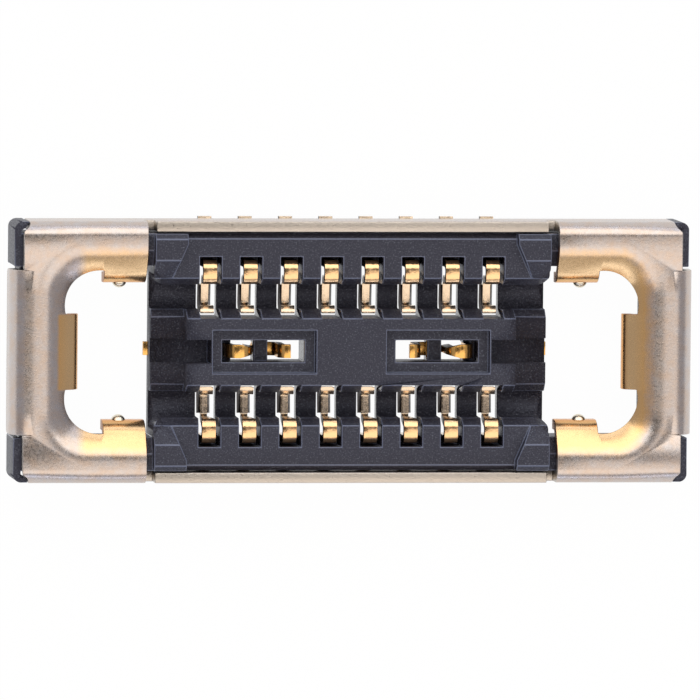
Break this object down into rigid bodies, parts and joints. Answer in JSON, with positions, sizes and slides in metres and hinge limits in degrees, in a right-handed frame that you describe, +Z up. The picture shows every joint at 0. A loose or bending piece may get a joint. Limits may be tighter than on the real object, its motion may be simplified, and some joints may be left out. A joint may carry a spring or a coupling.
{
  "type": "fpc connector",
  "caption": "Low-profile shielded receptacle that joins a flexible circuit to a board, with two mating slots round a central island and a rolled metal frame at each end.",
  "frame": {"origin": "middle of the solder plane, under the centre of the connector", "axes": "+X along the contact rows, +Y across them, +Z up towards the mating side"},
  "size_m": [0.006, 0.0022, 0.0007],
  "materials": {
    "housing_plastic": "rough moulded surface",
    "shell_metal": "plated copper alloy, matte with bright flanges",
    "contact_plating": "gold plated",
    "centre_plating": "gold plated"
  },
  "bodies": {
    "root": {"housing": "housing_plastic", "shield_shell": "shell_metal", "signal_contact_a1": "contact_plating", "signal_contact_a2": "contact_plating", "signal_contact_a3": "contact_plating", "signal_contact_a4": "contact_plating", "signal_contact_a5": "contact_plating", "signal_contact_a6": "contact_plating", "signal_contact_a7": "contact_plating", "signal_contact_a8": "contact_plating", "signal_contact_b1": "contact_plating", "signal_contact_b2": "contact_plating", "signal_contact_b3": "contact_plating", "signal_contact_b4": "contact_plating", "signal_contact_b5": "contact_plating", "signal_contact_b6": "contact_plating", "signal_contact_b7": "contact_plating", "signal_contact_b8": "contact_plating", "centre_contact_left": "centre_plating", "centre_contact_right": "centre_plating"}
  },
  "joints": []
}
